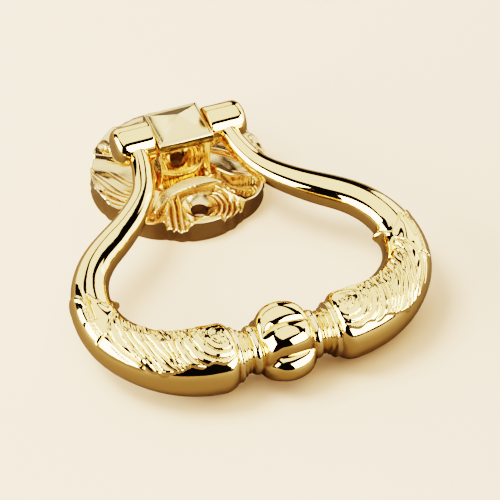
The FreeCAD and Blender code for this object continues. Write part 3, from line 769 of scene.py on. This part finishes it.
cast = brass("cast_brass_polished", (0.82, 0.54, 0.21), (0.93, 0.665, 0.315), 0.03, 0.07, 0.05)
# painted shade: a darker copy of the cast brass for the cap facets
cap_painted_shade = brass("cast_brass_cap_painted_shade", (0.70, 0.475, 0.205), (0.81, 0.60, 0.315), 0.13, 0.20, 0.05)
# painted shade: the backplate's satin brass is a darker copy of the cast brass
satin_painted_shade = brass("cast_brass_satin_painted_shade", (0.49, 0.32, 0.135), (0.75, 0.54, 0.29), 0.17, 0.27, 0.06)
# painted dark reflection and shade: a near-black copy of the brass for the cap's sides and far facet
painted_dark_reflection = brass("cast_brass_painted_dark_reflection", (0.24, 0.19, 0.08), (0.33, 0.265, 0.12), 0.10, 0.16, 0.05)
# painted light: a paler, less orange copy of the cast brass for the collars, offsetting their inter-reflections
collar_painted_light = brass("cast_brass_collar_painted_light", (0.84, 0.62, 0.31), (0.93, 0.74, 0.43), 0.06, 0.11, 0.05)
# painted shade: a darker copy of the cast brass for the post
post_painted_shade = brass("cast_brass_post_painted_shade", (0.62, 0.41, 0.18), (0.72, 0.51, 0.26), 0.05, 0.10, 0.05)
rod = brass("pin_brass_drawn", (0.72, 0.42, 0.15), (0.88, 0.58, 0.28), 0.08, 0.17, 0.12)
for o, m in ((bail, cast), (plate, satin_painted_shade), (pin, rod)):
    o.data.materials.clear()
    o.data.materials.append(m)
bail.data.materials.append(collar_painted_light)
for poly in bail.data.polygons:
    if COLLAR_FACES[0] <= poly.index < COLLAR_FACES[1] or COLLAR_FACES[2] <= poly.index < COLLAR_FACES[3]:
        poly.material_index = 1
plate.data.materials.append(post_painted_shade)
plate.data.materials.append(cap_painted_shade)
plate.data.materials.append(painted_dark_reflection)
for poly in plate.data.polygons:
    if POST_FACES[0] <= poly.index:
        n, z = poly.normal, poly.center.z
        # post faces take the darker painted-shade copy of the brass
        if z < 0.01695 or (z < 0.0184 and max(abs(v) for v in (n.x, n.y)) > 0.3 and abs(poly.center.y) < 0.00636 and abs(poly.center.x) < 0.00706):
            poly.material_index = 1
        elif abs(n.z) < 0.3:
            poly.material_index = 3            # plain sides of the cap: painted dark reflection
        elif z > 0.0198 and n.y > 0.2 and abs(n.y) > abs(n.x):
            poly.material_index = 3            # far facet: painted dark reflection and shade
        else:
            # cap facets take the darker painted-shade copy of the brass
            poly.material_index = 2

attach(plate, "backplate")
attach(bail, "bail_and_pin")
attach(pin, "bail_and_pin")
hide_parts("rosette_backplate")
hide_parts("bail")
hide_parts("axle_pin")

# ================================================================= stage
floor_mesh = bpy.data.meshes.new("studio_floor")
q = 2.5
floor_mesh.from_pydata([(-q, -q, 0), (q, -q, 0), (q, q, 0), (-q, q, 0)], [], [(0, 1, 2, 3)])
floor = bpy.data.objects.new("studio_floor", floor_mesh)
bpy.context.scene.collection.objects.link(floor)
floor.data.materials.append(floor_material())

world = bpy.data.worlds.new("studio")
bpy.context.scene.world = world
world.use_nodes = True
world.node_tree.nodes["Background"].inputs["Color"].default_value = (0.9, 0.85, 0.78, 1)
world.node_tree.nodes["Background"].inputs["Strength"].default_value = 0.012


def softbox(name, az, el, dist, width, height, power, colour=(1.0, 0.955, 0.88), aim=(0.0, -0.03, 0.008)):
    """A soft panel seen from the object at azimuth az (0 = +Y, 90 = +X) and elevation el."""
    a, e = math.radians(az), math.radians(el)
    d = Vector((math.sin(a) * math.cos(e), math.cos(a) * math.cos(e), math.sin(e)))
    light = bpy.data.lights.new(name, "AREA")
    light.shape = "RECTANGLE"
    light.size, light.size_y = width, height
    light.color = colour
    light.energy = power * width * height * math.pi
    obj = bpy.data.objects.new(name, light)
    bpy.context.scene.collection.objects.link(obj)
    obj.location = Vector(aim) + d * dist
    obj.rotation_euler = (-d).to_track_quat("-Z", "Y").to_euler()
    return obj


softbox("overhead_panel", -20, 85, 1.25, 1.80, 1.90, 1.62)
softbox("left_panel", -92, 19.5, 1.3, 1.52, 0.80, 8.5)
softbox("left_rear_panel", -54, 10, 1.35, 0.26, 0.46, 6.0)
softbox("rear_left_high_panel", -34, 41, 1.4, 0.44, 0.30, 1.5)
softbox("rear_panel", -6, 19, 1.5, 1.25, 1.10, 1.5)
softbox("right_panel", 57, 20, 1.4, 0.95, 1.08, 1.9)
softbox("right_low_panel", 91, 13, 1.4, 0.85, 0.76, 2.6)
front = softbox("front_right_box", 140, 24, 1.3, 1.36, 0.90, 8.4)
front.visible_diffuse = False
key_light = softbox("key_panel", -62, 62, 1.3, 0.55, 0.55, 15.6)
key_light.visible_glossy = False

# ================================================================ camera
AZ, EL, ROLL = math.radians(-21.93), math.radians(43.89), math.radians(0.94)
DIST, TX, TY, F_PX = 850.3, 18.55, -17.21, 3334.03
back = Vector((math.sin(AZ) * math.cos(EL), -math.cos(AZ) * math.cos(EL), math.sin(EL)))
right = Vector((math.cos(AZ), math.sin(AZ), 0.0))
up = right.cross(-back)
r2 = right * math.cos(ROLL) + up * math.sin(ROLL)
u2 = -right * math.sin(ROLL) + up * math.cos(ROLL)
pos = (right * TX + up * TY + back * DIST) * MM
cam_data = bpy.data.cameras.new("camera")
cam_data.sensor_width = 36.0
cam_data.lens = F_PX * 36.0 / 500.0
cam_data.clip_start = 0.01
cam = bpy.data.objects.new("camera", cam_data)
bpy.context.scene.collection.objects.link(cam)
cam.matrix_world = Matrix.Translation(pos) @ Matrix((r2, u2, back)).transposed().to_4x4()
bpy.context.scene.camera = cam

scene = bpy.context.scene
scene.view_settings.view_transform = "Filmic"
scene.view_settings.look = "Very High Contrast"
scene.view_settings.exposure = 0.0
scene.view_settings.gamma = 1.0
scene.cycles.max_bounces = 12
scene.cycles.glossy_bounces = 10
